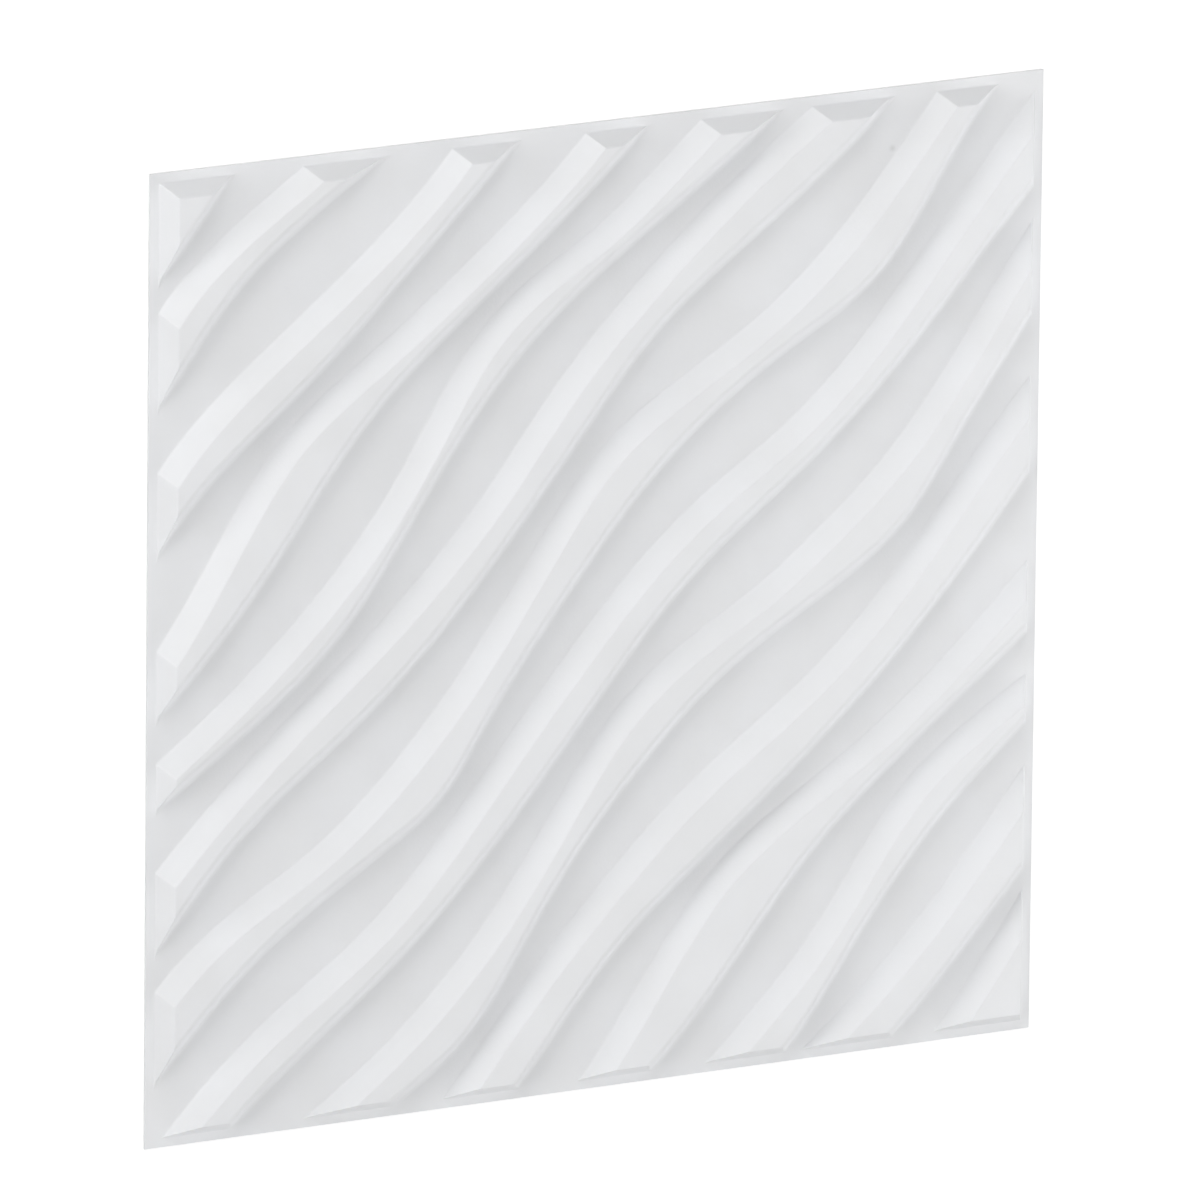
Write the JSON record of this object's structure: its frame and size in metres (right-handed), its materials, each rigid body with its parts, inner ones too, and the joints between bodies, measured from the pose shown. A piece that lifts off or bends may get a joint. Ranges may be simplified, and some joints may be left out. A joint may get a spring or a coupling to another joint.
{
  "type": "3d wall panel tile",
  "caption": "Square white plastic wall panel tile, formed from thin sheet with wavy diagonal ribs that stand up from a flat ground inside a narrow flat rim; glued to a wall by its back.",
  "frame": {"origin": "middle of the square tile, on the plane of its flat back", "axes": "+Z out of the decorated front, away from the wall; +X to the right and +Y up as the tile is shown, with the ribs running from -X -Y to +X +Y"},
  "size_m": [0.5, 0.5, 0.012],
  "materials": {
    "white_pvc": "satin white, as formed"
  },
  "bodies": {
    "root": {"wave_panel": "white_pvc"}
  },
  "joints": []
}
